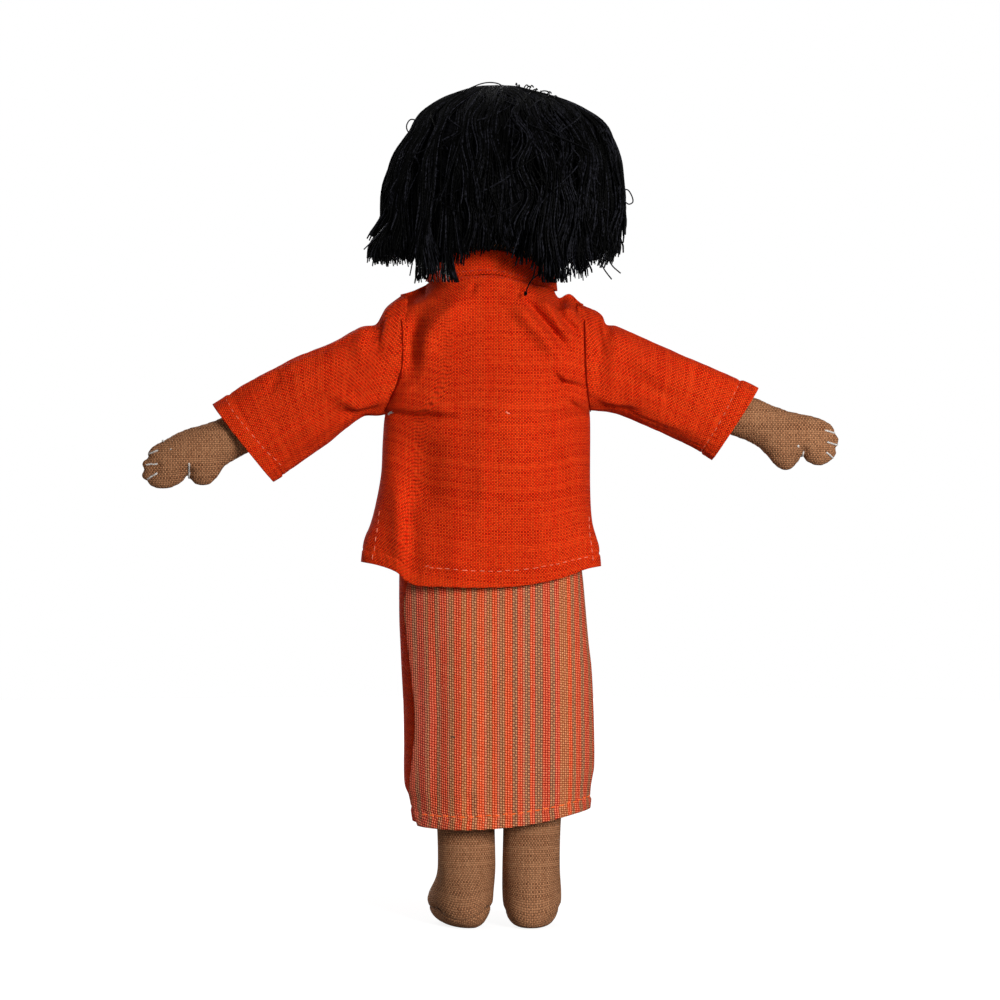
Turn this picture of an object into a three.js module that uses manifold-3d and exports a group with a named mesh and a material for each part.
// A sewn cloth doll in a tunic and a wrapped skirt, standing, in millimetres.
// +Z is up, the doll faces -Y, its left is +X, and the origin is on the floor between the feet.
import * as THREE from "three";
import { mergeVertices } from "three/addons/utils/BufferGeometryUtils.js";
import Module from "manifold-3d";

const wasm = await Module();
wasm.setup();

// Cloth and clearances
const clothThickness = 1.0;
const bagWall = 1.0;
const seamGap = 0.35;
const stuffingGap = 0.35;

// Heights of the doll's landmarks
const hipZ = 127.7;
const waistZ = 150;
const armpitZ = 184.5;
const shoulderZ = 226.5;
const neckBaseZ = 231.8;
const neckPivotZ = 245;

// Torso bag
const torsoX = 1;
const torsoHalfWidth = 31.5;
const torsoHalfDepth = 18;
const hipBeadRadius = 2.2;
const hipSlope = 0.8;

// Neck and head
const neckHalfWidth = 16;
const neckDomeRadius = 10.5;
const neckDomeHalfLength = 9.6;
const neckShoulderDrop = 2.6;
const throatFlare = 0.24;
const headX = -1.5;
const headY = -1;
const headHalfWidth = 34;
const headHalfDepth = 30;
const headBottomZ = neckPivotZ - 3.5;
const headTopZ = headBottomZ + 57.5;

// Hair
const hairX = -3;
const hairHalfWidth = 44;
const hairHalfDepth = 38.5;
const hairBellRadius = 27;
const hairHangZ = headBottomZ - 3.9;
const hairLobe = 4.8;
const fringeZ = headBottomZ + 35.5;
const crownZ = headTopZ + 4;
const hairTopZ = crownZ - 1.3;

// Arms: the shoulder pivots, then the droop and reach of each arm in degrees and millimetres
const shoulderPivotX = 39.5;
const shoulderPivotShiftX = 1.5;
const shoulderPivotZ = 202;
const armRootRadius = 12.2;
const armRootHalfDepth = 9.8;
const wristHalfHeight = 8.4;
const wristHalfDepth = 7.2;
const handHalfHeight = 9;
const handHalfDepth = 6.3;
const handReach = 34;
const thumbHalfLength = 6.6;
const thumbHalfWidth = 7.2;
const thumbHalfDepth = 5.4;
const armPose = {
  left: {
    droop: 25.4,
    handDroop: 21,
    wristReach: 59.3,
    thumbReach: 12.5,
    sleeveReach: 56.9,
    sleeveHalfHeight: 17.4,
  },
  right: {
    droop: 20,
    handDroop: 16.3,
    wristReach: 56.7,
    thumbReach: 14.2,
    sleeveReach: 52.7,
    sleeveHalfHeight: 14.8,
  },
};

// Tunic
const shirtHalfWidth = torsoHalfWidth + 5.7;
const shirtHalfDepth = torsoHalfDepth + 4;
const shirtHemZ = 122.8;
const shirtCornerRise = 7.6;
const shirtFlare = 5.4;
const slitTopZ = 152;
const slitOpening = 4;
const shirtFold = 0.8;
const frontNarrower = 3.4;
const frontShift = 2.4;
const armholeHalfWidth = torsoHalfWidth + 1.1;
const armholeHalfDepth = 12;
const collarX = 1.1;
const collarHalfWidth = 23.4;
const collarHalfDepth = 17;
const collarHeight = 9.4;
const collarFrontDrop = 5;
const sleeveHalfDepth = 12.2;
const sleeveFold = 0.7;
const placketWidth = 12;
const placketLength = 62;
const buttonRadius = 3.2;
const buttonThickness = 1.6;
const buttonPitch = 18;

// Skirt
const skirtHalfWidth = torsoHalfWidth + 2.7;
const skirtHalfDepth = torsoHalfDepth + 3.5;
const skirtHemZ = 36.8;
const skirtHemRise = 8;
const skirtFold = 0.9;
const waistbandHeight = 7;

// Legs
const legMidX = -1.4;
const hipSpread = 14.9;
const ankleSpread = 11.6;
const thighHalfWidth = 13.9;
const ankleHalfWidth = 10.2;
const ankleHalfDepth = 10.4;
const legY = 1.5;
const footLength = 36;
const footHeight = 18;
const footHalfWidth = 10.4;
const heelY = 12.2;
const soleHeight = 6;

const brownCotton = { color: 0x8f6440, roughness: 0.95, metalness: 0 };
const whiteStuffing = { color: 0xe9e4d8, roughness: 1, metalness: 0 };
const orangeCotton = { color: 0xd23408, roughness: 0.9, metalness: 0 };
const stripedCotton = { color: 0xc8703f, roughness: 0.9, metalness: 0 };
const blackThread = { color: 0x0c0b0d, roughness: 0.7, metalness: 0 };
const redThread = { color: 0x9c2222, roughness: 0.8, metalness: 0 };
const brownThread = { color: 0x54331d, roughness: 0.8, metalness: 0 };
const buttonPlastic = { color: 0xb8360f, roughness: 0.45, metalness: 0 };

const doll = new THREE.Group();

function addNode(name, geometry, look) {
  const mesh = new THREE.Mesh(geometry, new THREE.MeshStandardMaterial(look));
  mesh.name = name;
  doll.add(mesh);
}

const radians = (degrees) => (degrees * Math.PI) / 180;
const mix = (a, b, t) => a + (b - a) * t;
const clamp01 = (t) => Math.min(1, Math.max(0, t));

// A smooth step from 0 at a to 1 at b.
function ease(a, b, value) {
  const t = clamp01((value - a) / (b - a));
  return t * t * (3 - 2 * t);
}

// Reads a smooth profile: stations are [position, value], in rising order.
function profile(stations, position) {
  const last = stations.length - 1;
  if (position <= stations[0][0]) return stations[0][1];
  if (position >= stations[last][0]) return stations[last][1];
  const i = stations.findIndex((s) => s[0] > position) - 1;
  const before = stations[Math.max(i - 1, 0)];
  const [from, to] = [stations[i], stations[i + 1]];
  const after = stations[Math.min(i + 2, last)];
  const span = to[0] - from[0];
  const slopeFrom = ((to[1] - before[1]) / (to[0] - before[0])) * span;
  const slopeTo = ((after[1] - from[1]) / (after[0] - from[0])) * span;
  const t = (position - from[0]) / span;
  const cubic = 2 * t ** 3 - 3 * t ** 2;
  return (cubic + 1) * from[1] + (t ** 3 - 2 * t ** 2 + t) * slopeFrom
    - cubic * to[1] + (t ** 3 - t ** 2) * slopeTo;
}

// One closed body from triangles given as points.
function closedGeometry(triangles) {
  const geometry = new THREE.BufferGeometry();
  const positions = new Float32Array(triangles.flat().flatMap((p) => [p.x, p.y, p.z]));
  geometry.setAttribute("position", new THREE.BufferAttribute(positions, 3));
  return mergeVertices(geometry, 1e-4);
}

// The two triangles of a four-sided patch, seen from outside against the clock.
function quad(a, b, c, d) {
  return [[a, b, c], [a, c, d]];
}

// A closed body through rings of points, each ring running against the clock seen from its end.
function loft(rings) {
  const triangles = [];
  const count = rings[0].length;
  for (let r = 0; r < rings.length - 1; r++) {
    for (let i = 0; i < count; i++) {
      const j = (i + 1) % count;
      triangles.push(...quad(rings[r][i], rings[r][j], rings[r + 1][j], rings[r + 1][i]));
    }
  }
  for (const [ring, atEnd] of [[rings[0], false], [rings[rings.length - 1], true]]) {
    const middle = ring.reduce((sum, p) => sum.add(p), new THREE.Vector3()).divideScalar(count);
    for (let i = 0; i < count; i++) {
      const j = (i + 1) % count;
      triangles.push(atEnd ? [ring[i], ring[j], middle] : [ring[j], ring[i], middle]);
    }
  }
  return closedGeometry(triangles);
}

// A thick sheet between an outer and an inner surface, both given as point(u, v) with u and v from 0 to 1.
// Outside is where u across v points. A closed sheet joins u = 1 to u = 0.
function thickSheet(outer, inner, uSteps, vSteps, closed = false) {
  const columns = closed ? uSteps : uSteps + 1;
  const grid = (surface) => Array.from({ length: columns }, (_, i) =>
    Array.from({ length: vSteps + 1 }, (_, j) => surface(i / uSteps, j / vSteps)));
  const [out, back] = [grid(outer), grid(inner)];
  const triangles = [];
  for (let i = 0; i < uSteps; i++) {
    const n = (i + 1) % columns;
    for (let j = 0; j < vSteps; j++) {
      triangles.push(...quad(out[i][j], out[n][j], out[n][j + 1], out[i][j + 1]));
      triangles.push(...quad(back[i][j], back[i][j + 1], back[n][j + 1], back[n][j]));
    }
    triangles.push(...quad(out[n][0], out[i][0], back[i][0], back[n][0]));
    triangles.push(...quad(out[i][vSteps], out[n][vSteps], back[n][vSteps], back[i][vSteps]));
  }
  if (!closed) {
    for (let j = 0; j < vSteps; j++) {
      triangles.push(...quad(out[0][j], out[0][j + 1], back[0][j + 1], back[0][j]));
      triangles.push(...quad(out[uSteps][j + 1], out[uSteps][j], back[uSteps][j], back[uSteps][j + 1]));
    }
  }
  return closedGeometry(triangles);
}

// A point of a level oval, which a power over 2 makes squarer.
function ovalPoint(angle, halfWidth, halfDepth, power = 2) {
  const bulge = (t) => Math.sign(t) * Math.abs(t) ** (2 / power);
  return new THREE.Vector3(halfWidth * bulge(Math.cos(angle)), halfDepth * bulge(Math.sin(angle)), 0);
}

function levelRing({ x = 0, y = 0, z, halfWidth, halfDepth, power = 2, steps = 24 }) {
  return Array.from({ length: steps }, (_, i) =>
    ovalPoint((i / steps) * 2 * Math.PI, halfWidth, halfDepth, power).add(new THREE.Vector3(x, y, z)));
}

function toManifold(geometry) {
  const bare = geometry.index ? geometry.clone() : mergeVertices(geometry, 1e-4);
  bare.deleteAttribute("normal");
  bare.deleteAttribute("uv");
  const merged = mergeVertices(bare, 1e-4);
  return new wasm.Manifold(new wasm.Mesh({
    numProp: 3,
    vertProperties: new Float32Array(merged.attributes.position.array),
    triVerts: new Uint32Array(merged.index.array),
  }));
}

function fromManifold(solid) {
  const mesh = solid.getMesh();
  const geometry = new THREE.BufferGeometry();
  geometry.setAttribute("position", new THREE.BufferAttribute(mesh.vertProperties, 3));
  geometry.setIndex(new THREE.BufferAttribute(mesh.triVerts, 1));
  return geometry;
}

// A round bar along X or Y, for cutting a seat that turns.
function bar(radius, length, axis, centre, sides = 32) {
  const geometry = new THREE.CylinderGeometry(radius, radius, length, sides);
  if (axis === "x") geometry.rotateZ(Math.PI / 2);
  geometry.translate(...centre);
  return toManifold(geometry);
}

const shoulderPivot = {
  left: shoulderPivotShiftX + shoulderPivotX,
  right: shoulderPivotShiftX - shoulderPivotX,
};

// Torso: a stuffed bag that is flat at the hip seam, full at the belly and narrow at the neck.
const torsoBottomZ = hipZ + hipBeadRadius + seamGap;
const torsoTopZ = neckBaseZ - 2.2;
const torsoPower = 2.3;
const torsoWidths = [[0, 0.86], [0.2, 0.94], [0.45, 0.97], [0.75, 1], [0.9, 0.93], [0.97, 0.72], [1, 0.5]];

function torsoWidthAt(z) {
  return torsoHalfWidth * profile(torsoWidths, (z - torsoBottomZ) / (torsoTopZ - torsoBottomZ));
}

function torsoSolid(inset) {
  const rings = [];
  const levels = inset > 0 ? [0, 0.16, 0.45, 0.75, 0.9, 1] : [0, 0.08, 0.17, 0.3, 0.5, 0.72, 0.86, 0.94, 1];
  for (const level of levels) {
    const z = mix(torsoBottomZ + inset, torsoTopZ - inset, level);
    const wedge = hipBeadRadius + 0.3 + hipSlope * (z - torsoBottomZ);
    const top = 1 - 0.42 * ease(0.82, 1, level);
    rings.push(levelRing({
      x: torsoX,
      z,
      halfWidth: torsoHalfWidth * profile(torsoWidths, level) - inset,
      halfDepth: Math.max(Math.min(wedge, torsoHalfDepth * top) - inset, 0.8),
      power: torsoPower,
      steps: inset > 0 ? 14 : 22,
    }));
  }
  let solid = toManifold(loft(rings));
  for (const x of Object.values(shoulderPivot)) {
    const seat = armRootRadius + seamGap + inset;
    solid = solid.subtract(bar(seat, 60, "y", [x, 0, shoulderPivotZ], 24));
  }
  return solid;
}

// An upright oval hole, for the mouth that a bag is stuffed through.
function mouthHole(x, fromZ, toZ, halfWidth, halfDepth) {
  const rings = [fromZ, toZ].map((z) => levelRing({ x, z, halfWidth, halfDepth, steps: 16 }));
  return toManifold(loft(rings));
}

const torsoMouth = mouthHole(torsoX, torsoTopZ - 6, torsoTopZ + 2, 8.4, 7);
const torsoBag = torsoSolid(0).subtract(torsoSolid(bagWall)).subtract(torsoMouth);
addNode("torso", fromManifold(torsoBag), brownCotton);
addNode("torso_stuffing", fromManifold(torsoSolid(bagWall + stuffingGap)), whiteStuffing);

// Neck: a stuffed stem whose round top is the seat that the head nods on.
const neckBottomZ = torsoTopZ + seamGap;
const neckColumn = toManifold(loft([0, 0.5, 1].map((t) => levelRing({
  x: torsoX * (1 - t),
  z: mix(neckBottomZ, neckPivotZ - neckShoulderDrop, t),
  halfWidth: neckHalfWidth * mix(0.98, 0.92, t),
  halfDepth: neckDomeRadius * mix(0.98, 0.93, t),
  power: 2.2,
}))));
const neckDome = bar(neckDomeRadius, 2 * neckDomeHalfLength, "x", [0, 0, neckPivotZ], 20);
addNode("neck", fromManifold(neckColumn.add(neckDome)), brownCotton);

// Head: a full round bag, widest at the cheeks.
const headShape = [[0, 0.42], [0.07, 0.62], [0.17, 0.79], [0.32, 0.95], [0.5, 1.02], [0.68, 0.97],
  [0.83, 0.79], [0.94, 0.5], [1, 0.2]];

function headHalf(z, grow = 0) {
  const level = clamp01((z - headBottomZ + grow) / (headTopZ - headBottomZ + 2 * grow));
  return profile(headShape, level);
}

function headSolid(grow) {
  const coarse = [0, 0.1, 0.28, 0.5, 0.72, 0.9, 1];
  const fine = [0, 0.05, 0.14, 0.26, 0.4, 0.55, 0.7, 0.83, 0.93, 1];
  const levels = grow < 0 ? coarse : fine;
  return toManifold(loft(levels.map((level) => {
    const z = mix(headBottomZ - grow, headTopZ + grow, level);
    const share = profile(headShape, level);
    return levelRing({
      x: headX,
      y: headY,
      z,
      halfWidth: headHalfWidth * share + grow,
      halfDepth: headHalfDepth * share + grow,
      steps: grow < 0 ? 14 : 24,
    });
  })));
}

function headBag(inset) {
  const seat = bar(neckDomeRadius + seamGap + inset, 2 * (neckDomeHalfLength + seamGap + inset), "x",
    [0, 0, neckPivotZ], 20);
  const throat = toManifold(loft([headBottomZ - 12, neckPivotZ].map((z) => levelRing({
    z,
    halfWidth: neckHalfWidth + 0.8 + inset,
    halfDepth: neckDomeRadius + seamGap + inset + throatFlare * (neckPivotZ - z),
    power: 2.2,
  }))));
  return headSolid(-inset).subtract(seat).subtract(throat);
}

const headMouth = mouthHole(0, neckPivotZ + 6, neckPivotZ + 16, 8, 5);
const headCover = headBag(0).subtract(headBag(bagWall)).subtract(headMouth);
addNode("head", fromManifold(headCover), brownCotton);
addNode("head_stuffing", fromManifold(headBag(bagWall + stuffingGap)), whiteStuffing);

// A flat shape laid on the face, as a patch of stitches that follows the head's surface.
function facePatch(name, shape, x, z, look) {
  const depth = headHalfDepth + 6;
  const prism = new THREE.ExtrudeGeometry(shape, { depth, bevelEnabled: false, curveSegments: 8 });
  prism.rotateX(Math.PI / 2);
  prism.translate(x, 0, z);
  const stitches = headSolid(seamGap + 0.7).subtract(headSolid(seamGap));
  addNode(name, fromManifold(stitches.intersect(toManifold(prism))), look);
}

function almond(halfLength, halfHeight) {
  const shape = new THREE.Shape();
  shape.absellipse(0, 0, halfLength, halfHeight, 0, 2 * Math.PI);
  return shape;
}

function bow(halfLength, sag, thickness) {
  const shape = new THREE.Shape();
  shape.moveTo(-halfLength, 0);
  shape.quadraticCurveTo(0, -2 * sag, halfLength, 0);
  shape.lineTo(halfLength, thickness);
  shape.quadraticCurveTo(0, -2 * sag + thickness, -halfLength, thickness);
  return shape;
}

const eyeZ = mix(headBottomZ, headTopZ, 0.47);
const eyeSpread = headHalfWidth * 0.36;
for (const [side, sign] of [["left", 1], ["right", -1]]) {
  facePatch(`${side}_eye`, almond(3.4, 2.3), headX + sign * eyeSpread, eyeZ, blackThread);
  facePatch(`${side}_eyebrow`, bow(4.6, -1.1, 1), headX + sign * eyeSpread, eyeZ + 5.4, blackThread);
}
facePatch("nose", bow(1.7, 0.7, 0.9), headX, eyeZ - 7.2, brownThread);
facePatch("mouth", bow(5, 1.5, 1.3), headX, eyeZ - 13.4, redThread);

// Hair: hanging thread bundles round the head, with a sewn crown on top.
const hairLift = seamGap + 0.5;
const hairShape = [[0, 0.97], [0.12, 0.99], [0.3, 1], [0.45, 0.98], [0.62, 0.92], [0.76, 0.81], [0.87, 0.66],
  [0.95, 0.47], [1, 0.28]];

function hairOuter(angle, z) {
  const level = clamp01((z - hairHangZ) / (hairTopZ - hairHangZ));
  const share = profile(hairShape, level);
  return new THREE.Vector3(
    mix(hairX, headX, ease(0.85, 1, level)) + hairHalfWidth * share * Math.cos(angle),
    headY + hairHalfDepth * share * Math.sin(angle),
    z,
  );
}

// Inside, the hair lies on the head and below the cheeks it hangs free round the neck and collar.
function hairInner(angle, z) {
  const share = headHalf(z, hairLift);
  const bell = hairBellRadius * (1 - ease(headBottomZ + 8, headBottomZ + 20, z));
  return new THREE.Vector3(
    headX + Math.max(headHalfWidth * share + hairLift, bell * 1.06) * Math.cos(angle),
    headY + Math.max(headHalfDepth * share + hairLift, bell * 0.95) * Math.sin(angle),
    z,
  );
}

// The ragged lower edge hangs in two lobes beside the collar and arches over the nape.
function hairEdgeZ(angle) {
  const fromNape = Math.abs(angle - Math.PI / 2);
  return hairHangZ + hairLobe * Math.cos((fromNape / radians(84)) * 2 * Math.PI);
}

function hairPiece(name, fromDegrees, toDegrees, edgeZ, uSteps, vSteps) {
  const angleAt = (u) => mix(radians(fromDegrees), radians(toDegrees), u);
  const parted = (surface, topZ, u, v) => {
    const angle = angleAt(u);
    const side = (0.5 - u) * 3 * seamGap;
    return surface(angle, mix(edgeZ(angle), topZ, Math.sin((v * Math.PI) / 2) ** 0.8))
      .add(new THREE.Vector3(-Math.sin(angle) * side, Math.cos(angle) * side, 0));
  };
  addNode(name, thickSheet(
    (u, v) => parted(hairOuter, hairTopZ, u, v),
    (u, v) => parted(hairInner, headTopZ - 0.6, u, v),
    uSteps,
    vSteps,
  ), blackThread);
}

hairPiece("hair_back", 35, 145, hairEdgeZ, 12, 8);
hairPiece("hair_left", -48, 35, hairEdgeZ, 7, 8);
hairPiece("hair_right", 145, 228, hairEdgeZ, 7, 8);
hairPiece("hair_fringe", 228, 312, () => fringeZ, 7, 4);

const crownRings = [[0, 0.7], [0.4, 0.96], [0.75, 0.86], [1, 0.4]].map(([level, share]) => levelRing({
  x: headX,
  y: headY,
  z: mix(headTopZ + seamGap, crownZ, level),
  halfWidth: (hairHalfWidth * hairShape.at(-1)[1] - 1) * share,
  halfDepth: (hairHalfDepth * hairShape.at(-1)[1] - 1) * share,
  steps: 12,
}));
addNode("hair_crown", loft(crownRings), blackThread);

// The directions of a limb that droops outwards: along it, up across it, and level across it.
function limbAxes(side, droopDegrees) {
  const out = side === "left" ? 1 : -1;
  const droop = radians(droopDegrees);
  const along = new THREE.Vector3(out * Math.cos(droop), 0, -Math.sin(droop));
  const up = new THREE.Vector3(out * Math.sin(droop), 0, Math.cos(droop));
  return { along, up, across: up.clone().cross(along) };
}

const shoulderPoint = (side) => new THREE.Vector3(shoulderPivot[side], 0, shoulderPivotZ);

// A point of the arm's middle line, with the directions there. Past the wrist the hand lifts a little.
function armPlace(side, reach) {
  const pose = armPose[side];
  const upper = limbAxes(side, pose.droop);
  const hand = limbAxes(side, pose.handDroop);
  const bend = ease(pose.wristReach - 8, pose.wristReach + 8, reach);
  const centre = shoulderPoint(side).addScaledVector(upper.along, Math.min(reach, pose.wristReach));
  centre.addScaledVector(hand.along, Math.max(reach - pose.wristReach, 0));
  return { centre, ...limbAxes(side, mix(pose.droop, pose.handDroop, bend)) };
}

function limbRing({ centre, up, across }, halfHeight, halfDepth, steps = 16) {
  return Array.from({ length: steps }, (_, i) => {
    const angle = (i / steps) * 2 * Math.PI;
    return centre.clone()
      .addScaledVector(across, halfDepth * Math.cos(angle))
      .addScaledVector(up, halfHeight * Math.sin(angle));
  });
}

// A stuffed ball, longer one way than another, with its length along the limb.
function limbBall({ centre, along, up, across }, halfLength, halfHeight, halfDepth) {
  const geometry = new THREE.SphereGeometry(1, 12, 8);
  const place = new THREE.Matrix4().makeBasis(
    across.clone().multiplyScalar(halfDepth),
    up.clone().multiplyScalar(halfHeight),
    along.clone().multiplyScalar(halfLength),
  );
  geometry.applyMatrix4(place.setPosition(centre));
  return toManifold(geometry);
}

// Arm and mitten hand, as sections of [reach from the shoulder, half height, half depth].
function armSolid(side, inset) {
  const { wristReach, thumbReach } = armPose[side];
  const height = (t) => mix(armRootRadius, wristHalfHeight, t);
  const depth = (t) => mix(armRootHalfDepth, wristHalfDepth, t);
  const sections = [
    [0, armRootRadius * 0.99, armRootHalfDepth],
    [wristReach * 0.27, height(0.16), depth(0.08)],
    [wristReach * 0.55, height(0.55), depth(0.4)],
    [wristReach * 0.82, height(0.88), depth(0.8)],
    [wristReach, wristHalfHeight, wristHalfDepth],
    [wristReach + handReach * 0.5, handHalfHeight, handHalfDepth],
    [wristReach + handReach * 0.78, handHalfHeight * 0.93, handHalfDepth * 0.92],
    [wristReach + handReach * 0.91, handHalfHeight * 0.74, handHalfDepth * 0.74],
    [wristReach + handReach, handHalfHeight * 0.36, handHalfDepth * 0.4],
  ];
  const reachOf = (reach, i) => (i === sections.length - 1 ? reach - inset : reach);
  const steps = inset > 0 ? 12 : 16;
  const rings = sections.map(([reach, halfHeight, halfDepth], i) => {
    const place = armPlace(side, reachOf(reach, i));
    return limbRing(place, halfHeight - inset, Math.max(halfDepth - inset, 0.8), steps);
  });
  const rootRadius = armRootRadius - inset;
  const root = limbBall(armPlace(side, 0), rootRadius, rootRadius, armRootHalfDepth - inset);
  const arm = toManifold(loft(rings)).add(root);
  if (inset > 0) return arm;
  const thumb = armPlace(side, wristReach + thumbReach);
  thumb.centre.addScaledVector(thumb.up, thumbHalfLength * 0.3 - handHalfHeight);
  return arm.add(limbBall(thumb, thumbHalfWidth, thumbHalfLength, thumbHalfDepth));
}

for (const side of ["left", "right"]) {
  const mouth = armPlace(side, -armRootRadius * 1.2);
  const mouthEnd = armPlace(side, -armRootRadius * 0.5);
  for (const place of [mouth, mouthEnd]) place.centre.copy(shoulderPoint(side));
  mouth.centre.addScaledVector(mouth.along, -armRootRadius * 1.2);
  mouthEnd.centre.addScaledVector(mouth.along, -armRootRadius * 0.5);
  const opening = toManifold(loft([limbRing(mouth, 6, 4, 12), limbRing(mouthEnd, 6, 4, 12)]));
  const bag = armSolid(side, 0).subtract(armSolid(side, bagWall)).subtract(opening);
  addNode(`${side}_arm`, fromManifold(bag), brownCotton);
  addNode(`${side}_arm_stuffing`, fromManifold(armSolid(side, bagWall + stuffingGap)), whiteStuffing);
}

// Tunic: the silhouette seen from behind, as [height, middle, half width], and its half depth.
const armholeZ = (armpitZ + shoulderZ) / 2;
const armholeHalfHeight = (shoulderZ - armpitZ) / 2;
const slitShareZ = (share) => mix(shirtHemZ, slitTopZ, share);
const armholeShareZ = (share) => mix(armpitZ, shoulderZ, share);
const waistlineZ = mix(slitTopZ, armpitZ, 0.31);
const yokeZ = armholeShareZ(0.8);
const shirtMiddle = [[shirtHemZ, 5.4], [slitShareZ(0.45), 5.3], [slitTopZ, 4.2], [waistlineZ, 3.3],
  [armpitZ, 2.6], [armholeShareZ(0.37), 0.6], [shoulderZ, 1.2], [neckBaseZ, collarX]];
const shirtWidth = [[shirtHemZ, shirtHalfWidth + shirtFlare],
  [slitShareZ(0.45), shirtHalfWidth + shirtFlare * 0.86], [slitTopZ, shirtHalfWidth + shirtFlare * 0.24],
  [waistlineZ, shirtHalfWidth], [armpitZ, shirtHalfWidth - 0.6], [armholeShareZ(0.37), armholeHalfWidth],
  [shoulderZ, armholeHalfWidth], [neckBaseZ, collarHalfWidth]];
const shirtDepth = [[shirtHemZ, shirtHalfDepth + 2.2], [slitTopZ, shirtHalfDepth + 0.4],
  [armpitZ, shirtHalfDepth], [armholeShareZ(0.49), shirtHalfDepth - 1], [yokeZ, shirtHalfDepth - 2.2],
  [shoulderZ, shirtHalfDepth - 3.6], [neckBaseZ, collarHalfDepth - 0.4]];
const shirtLevels = [
  ...[0, 0.28, 0.62, 1].map(slitShareZ),
  mix(slitTopZ, armpitZ, 0.5),
  ...[0, 0.08, 0.25, 0.46, 0.68, 0.87, 1].map(armholeShareZ),
  mix(shoulderZ, neckBaseZ, 0.5),
  neckBaseZ,
];

// How far round the section the armhole reaches at this height.
function armholeAngle(z, halfDepth) {
  const level = (z - armholeZ) / armholeHalfHeight;
  if (Math.abs(level) >= 1) return 0;
  return Math.asin((armholeHalfDepth * Math.sqrt(1 - level ** 2)) / halfDepth);
}

function shirtLevel(v) {
  const place = clamp01(v) * (shirtLevels.length - 1);
  const i = Math.min(Math.floor(place), shirtLevels.length - 2);
  return mix(shirtLevels[i], shirtLevels[i + 1], place - i);
}

// The folds of the tunic at the back: soft ridges from the collar to the armholes and above the hem.
function shirtFolds(x, z) {
  const ridge = (distance, width) => Math.exp(-((distance / width) ** 2));
  const fromShoulder = shoulderZ - z;
  const leftChest = ridge(x - collarHalfWidth - 2.6 + fromShoulder * 0.55, 4);
  const rightChest = ridge(-x - collarHalfWidth + 1.4 + fromShoulder * 0.5, 4);
  const chest = (leftChest + rightChest) * (1 - ease(12.5, 30.5, fromShoulder));
  const armpit = ridge(z - armpitZ + 2.5 - (x - 30) * 0.06, 2.6) * ease(4, 26, x);
  const drape = Math.cos((x / 13) * Math.PI) * (1 - ease(shirtHemZ, slitTopZ + 13, z));
  return shirtFold * (chest + armpit + 0.7 * drape);
}

function shirtPoint(facing, u, v, inset) {
  const base = shirtLevel(v);
  const halfDepth = profile(shirtDepth, base);
  const inArmhole = armholeAngle(base, halfDepth);
  const across = mix(inArmhole, Math.PI - inArmhole, u);
  const angle = facing > 0 ? across : across + Math.PI;
  const halfWidth = profile(shirtWidth, base) / Math.cos(inArmhole);
  const [c, s] = [Math.cos(angle), Math.sin(angle)];
  const low = 1 - ease(shirtHemZ, slitTopZ, base);
  const frontNarrow = facing > 0 ? 0 : frontNarrower * low;
  const middle = profile(shirtMiddle, base) - (facing > 0 ? 0 : frontShift * low);
  const x = middle + (halfWidth - inset - frontNarrow) * c;
  const y = (halfDepth - inset) * s + facing * (seamGap * 0.6 + slitOpening * low * c ** 8)
    + (facing > 0 ? shirtFolds(x, base) * s : 0);
  const hem = shirtCornerRise * low * c ** 4;
  const neck = facing > 0 ? 0 : -collarFrontDrop * s ** 2 * ease(armholeShareZ(0.56), neckBaseZ, base);
  return new THREE.Vector3(x, y, base + hem + neck - 0.7 * inset * ease(yokeZ, neckBaseZ, base));
}

for (const [name, facing] of [["shirt_back", 1], ["shirt_front", -1]]) {
  addNode(name, thickSheet(
    (u, v) => shirtPoint(facing, u, v, 0),
    (u, v) => shirtPoint(facing, u, v, clothThickness),
    13,
    shirtLevels.length - 1,
  ), orangeCotton);
}

// Band collar: a standing ring, open at the front and lower there.
const collarOpening = 0.09;
function collarPoint(u, v, inset) {
  const angle = mix(collarOpening, 2 * Math.PI - collarOpening, u) - Math.PI / 2;
  const [c, s] = [Math.cos(angle), Math.sin(angle)];
  const front = Math.max(-s, 0) ** 2;
  return new THREE.Vector3(
    collarX + (collarHalfWidth - 0.9 * v - inset) * c,
    (collarHalfDepth - 0.4 - 0.9 * v - inset) * s,
    neckBaseZ + seamGap - collarFrontDrop * front + collarHeight * v,
  );
}
addNode("collar", thickSheet(
  (u, v) => collarPoint(u, v, 0),
  (u, v) => collarPoint(u, v, clothThickness * 1.2),
  22,
  1,
), orangeCotton);

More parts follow.
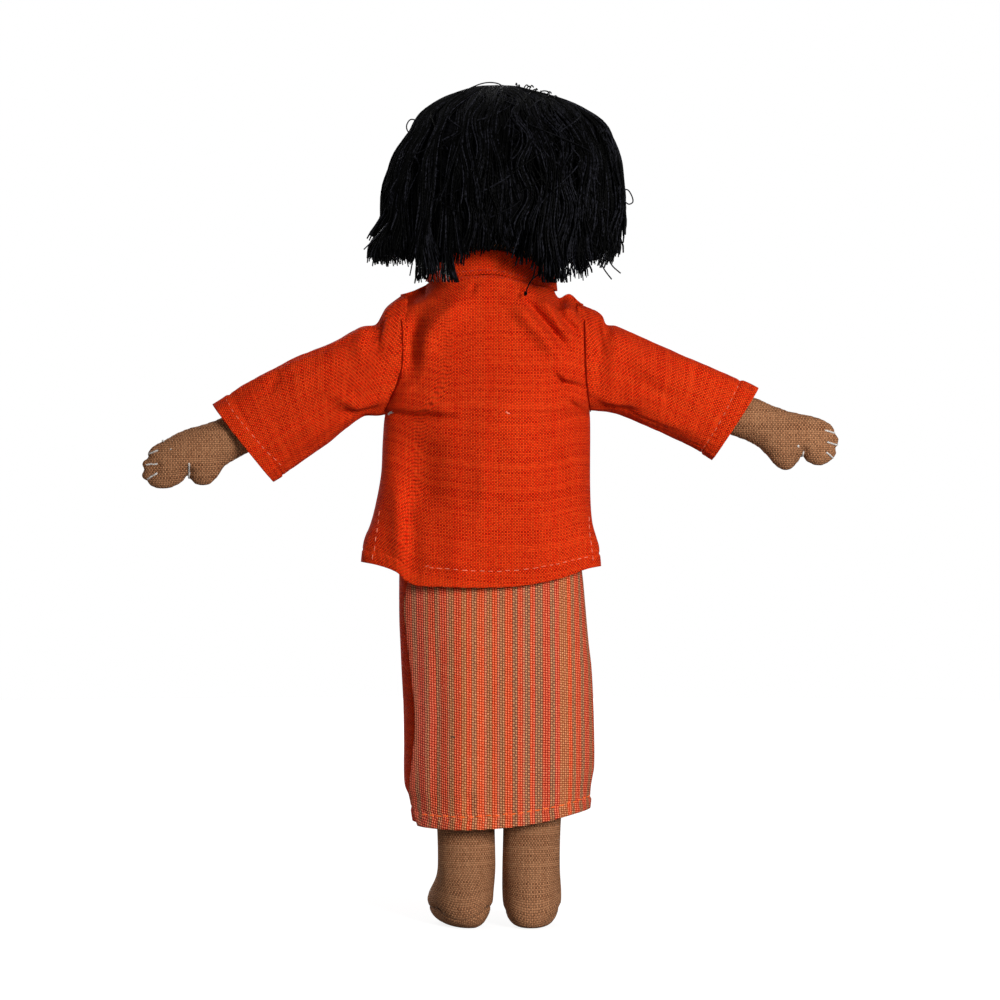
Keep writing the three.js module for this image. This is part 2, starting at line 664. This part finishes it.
// Sleeves: from the armhole, drawn in over the shoulder, then wide down to the cuff.
function sleevePoint(side, u, v, inset) {
  const out = side === "left" ? 1 : -1;
  const pose = armPose[side];
  const angle = u * 2 * Math.PI;
  const reach = mix(-3, pose.sleeveReach, v);
  const opened = ease(0.02, 0.5, v);
  const halfHeight = mix(15.5, pose.sleeveHalfHeight, opened) - inset;
  const halfDepth = mix(sleeveHalfDepth, sleeveHalfDepth * 0.86, v) - inset;
  const place = { centre: shoulderPoint(side), ...limbAxes(side, pose.droop * ease(0, 0.25, v)) };
  place.centre.addScaledVector(limbAxes(side, pose.droop).along, reach);
  place.centre.addScaledVector(place.up, -mix(0.4, 4, v * v));
  const folds = sleeveFold * Math.sin(v * 17 + 1) * (1 - ease(0.5, 1, v)) * ease(0, 0.12, v);
  const point = place.centre.clone()
    .addScaledVector(place.across, (halfDepth + folds * Math.cos(angle)) * Math.cos(angle))
    .addScaledVector(place.up, (halfHeight + folds) * Math.sin(angle));
  const seam = ease(0.13, 0, v);
  const rootZ = armholeZ + (armholeHalfHeight - seamGap - inset) * Math.sin(angle);
  const rootX = profile(shirtMiddle, rootZ) + out * (profile(shirtWidth, rootZ) + seamGap + 0.15);
  const rootY = out * (armholeHalfDepth - inset) * Math.cos(angle);
  return point.lerp(new THREE.Vector3(rootX, rootY, rootZ), seam);
}

for (const side of ["left", "right"]) {
  addNode(`${side}_sleeve`, thickSheet(
    (u, v) => sleevePoint(side, u, v, 0),
    (u, v) => sleevePoint(side, u, v, clothThickness),
    16,
    8,
    true,
  ), orangeCotton);
}

// Placket strip down the front, with the buttons on it.
const placketTopZ = neckBaseZ - collarFrontDrop - 0.6;
function shirtFrontY(x, z) {
  const across = (x - profile(shirtMiddle, z)) / profile(shirtWidth, z);
  return -profile(shirtDepth, z) * Math.sqrt(1 - across ** 2) - seamGap;
}
function placketPoint(u, v, lift) {
  const x = collarX + placketWidth * (u - 0.5);
  const z = placketTopZ - placketLength * (1 - v);
  return new THREE.Vector3(x, shirtFrontY(x, z) - 0.5 - lift, z);
}
const placketThickness = clothThickness * 0.8;
addNode("placket", thickSheet(
  (u, v) => placketPoint(u, v, placketThickness),
  (u, v) => placketPoint(u, v, 0),
  2,
  6,
), orangeCotton);

function buttonGeometry() {
  const shape = new THREE.Shape().absarc(0, 0, buttonRadius, 0, 2 * Math.PI);
  for (const x of [-1, 1]) shape.holes.push(new THREE.Path().absarc(x, 0, 0.5, 0, 2 * Math.PI, true));
  const depth = buttonThickness;
  const geometry = new THREE.ExtrudeGeometry(shape, { depth, bevelEnabled: false, curveSegments: 7 });
  geometry.rotateX(Math.PI / 2);
  return geometry;
}
["button_top", "button_middle", "button_bottom"].forEach((name, i) => {
  const z = placketTopZ - 5.5 - i * buttonPitch;
  const geometry = buttonGeometry();
  const face = Math.min(...[-1, 0, 1].map((t) => {
    const v = 1 - (placketTopZ - z + t * buttonRadius) / placketLength;
    return placketPoint(0.5, v, placketThickness).y;
  }));
  geometry.translate(collarX, face - seamGap, z);
  addNode(name, geometry, buttonPlastic);
});

// Waistband and the two skirt panels below it.
const waist = { halfWidth: torsoWidthAt(waistZ + waistbandHeight), halfDepth: torsoHalfDepth };
function waistbandPoint(u, v, inset) {
  const grow = clothThickness + seamGap + 0.15 - inset;
  return ovalPoint(u * 2 * Math.PI, waist.halfWidth + grow, waist.halfDepth + grow, torsoPower)
    .add(new THREE.Vector3(torsoX, 0, mix(waistZ, waistZ + waistbandHeight, v)));
}
addNode("waistband", thickSheet(
  (u, v) => waistbandPoint(u, v, 0),
  (u, v) => waistbandPoint(u, v, clothThickness),
  24,
  1,
  true,
), orangeCotton);

const skirtTopZ = waistZ - seamGap;
const skirtShareZ = (share) => mix(skirtHemZ, skirtTopZ, share);
const skirtMiddle = [[skirtHemZ, -2.2], [skirtShareZ(0.27), -1.6], [skirtShareZ(0.47), -0.6],
  [skirtShareZ(0.65), 0.6], [skirtShareZ(0.8), 1.5], [skirtTopZ, torsoX]];
const skirtWidth = [[skirtHemZ, skirtHalfWidth - 1.2], [skirtShareZ(0.12), skirtHalfWidth],
  [skirtShareZ(0.47), skirtHalfWidth], [skirtShareZ(0.8), skirtHalfWidth - 1],
  [skirtTopZ, waist.halfWidth + 1.4]];
const skirtDepth = [[skirtHemZ, skirtHalfDepth], [skirtShareZ(0.56), skirtHalfDepth - 0.8],
  [skirtTopZ, waist.halfDepth + 1.7]];
const splitX = [[skirtHemZ, 24], [skirtShareZ(0.21), 27], [skirtShareZ(0.46), 29.4],
  [skirtShareZ(0.65), 30.8], [skirtShareZ(0.76), 28.8], [skirtTopZ, 27]];

function skirtPoint(facing, u, v, inset) {
  const base = mix(skirtHemZ, skirtTopZ, v);
  const [middle, halfWidth] = [profile(skirtMiddle, base), profile(skirtWidth, base)];
  const power = mix(2, torsoPower, ease(skirtShareZ(0.47), skirtTopZ, base));
  const split = Math.acos(((profile(splitX, base) - middle) / halfWidth) ** (power / 2));
  const parting = (0.5 - u) * (1.4 * seamGap / halfWidth);
  const angle = (facing > 0 ? mix(split, Math.PI, u) : mix(Math.PI, 2 * Math.PI + split, u)) + parting;
  const [c, s] = [Math.cos(angle), Math.sin(angle)];
  const low = 1 - v;
  const fold = skirtFold * low * (Math.cos(5 * angle + 0.6) + 0.4 * Math.cos(11 * angle));
  const rise = skirtHemRise * low ** 4 * Math.max(0, Math.abs(c) ** 2.2 - (facing > 0 ? 0 : 0.2 * s));
  const halfDepth = profile(skirtDepth, base) + fold - inset;
  return ovalPoint(angle, halfWidth + fold * 0.4 - inset, halfDepth, power)
    .add(new THREE.Vector3(middle, 0, base + rise));
}

for (const [name, facing, look] of [["skirt_back", 1, stripedCotton], ["skirt_front", -1, orangeCotton]]) {
  addNode(name, thickSheet(
    (u, v) => skirtPoint(facing, u, v, 0),
    (u, v) => skirtPoint(facing, u, v, clothThickness),
    facing > 0 ? 13 : 17,
    7,
  ), look);
}

// Legs: round above the ankle, fuller at the thigh and flat at the hip seam, the foot forward of the heel.
const thighDepth = ankleHalfDepth + 1.9;
function legDepth(z) {
  const fromHip = hipZ - z;
  return Math.min(hipBeadRadius + hipSlope * Math.max(fromHip - hipBeadRadius - 0.3, 0), thighDepth);
}

// Foot outline at a height: [height, half width, front y, back y]; the foot turns out about the leg.
const toeY = heelY - footLength;
const footSections = [
  [0, 4.4, toeY + 6.5, heelY - 5.5],
  [1.4, 6.4, toeY + 3.6, heelY - 3.2],
  [3.4, 8.2, toeY + 1.6, heelY - 1.4],
  [soleHeight, 9.4, toeY + 0.4, heelY - 0.4],
];
const footTurn = { left: 11, right: 2 };

function legRing(side, z, halfWidth, frontY, backY, inset) {
  const out = side === "left" ? 1 : -1;
  const spread = mix(ankleSpread, hipSpread, ease(20, 116, z));
  const ring = levelRing({
    y: (frontY + backY) / 2 - legY,
    z,
    halfWidth: halfWidth - inset,
    halfDepth: (backY - frontY) / 2 - inset,
    steps: inset > 0 ? 12 : 16,
  });
  const turn = radians(footTurn[side]) * out * (1 - ease(8, footHeight + 8, z));
  return ring.map((p) => p.applyAxisAngle(new THREE.Vector3(0, 0, 1), turn)
    .add(new THREE.Vector3(legMidX + out * spread, legY, 0)));
}

function legSolid(side, inset, bottomZ) {
  const rings = [];
  const foot = [
    [bottomZ, 9.5, toeY + 0.4, heelY - 0.4],
    [9.5, footHalfWidth, toeY, heelY],
    [13, footHalfWidth, toeY + 3.5, heelY],
    [footHeight, ankleHalfWidth, toeY + 10.5, legY + ankleHalfDepth],
  ];
  for (const [z, halfWidth, frontY, backY] of foot) {
    rings.push(legRing(side, z, halfWidth, frontY, backY, inset));
  }
  const coarse = [24, 50, 90, 116, 123];
  const fine = [24, 44, 68, 94, 111, 117, hipZ - hipBeadRadius - 0.3, hipZ - 0.4];
  const heights = inset > 0 ? coarse : fine;
  for (const z of heights) {
    const top = inset > 0 ? 0.92 : 1;
    const level = inset > 0 ? mix(24, z, top) : z;
    const halfWidth = mix(ankleHalfWidth, thighHalfWidth, ease(30, 112, level));
    const halfDepth = Math.min(mix(ankleHalfDepth, thighDepth, ease(30, 90, level)), legDepth(level));
    const middleY = legY * (1 - ease(60, 118, level));
    rings.push(legRing(side, level, halfWidth, middleY - halfDepth, middleY + halfDepth, inset));
  }
  return toManifold(loft(rings));
}

for (const side of ["left", "right"]) {
  const out = side === "left" ? 1 : -1;
  const bagBottomZ = soleHeight + seamGap;
  const bead = bar(hipBeadRadius, 2 * thighHalfWidth * 0.9, "x", [legMidX + out * hipSpread, 0, hipZ], 16);
  const bag = legSolid(side, 0, bagBottomZ).add(bead);
  addNode(`${side}_leg`, fromManifold(bag.subtract(legSolid(side, bagWall, bagBottomZ - 1))), brownCotton);
  const filling = legSolid(side, bagWall + stuffingGap, bagBottomZ);
  addNode(`${side}_leg_stuffing`, fromManifold(filling), whiteStuffing);
  const soleRings = footSections.map(([z, halfWidth, frontY, backY]) =>
    legRing(side, z, halfWidth, frontY, backY, 0));
  addNode(`${side}_sole`, loft(soleRings), brownCotton);
}

export default doll;
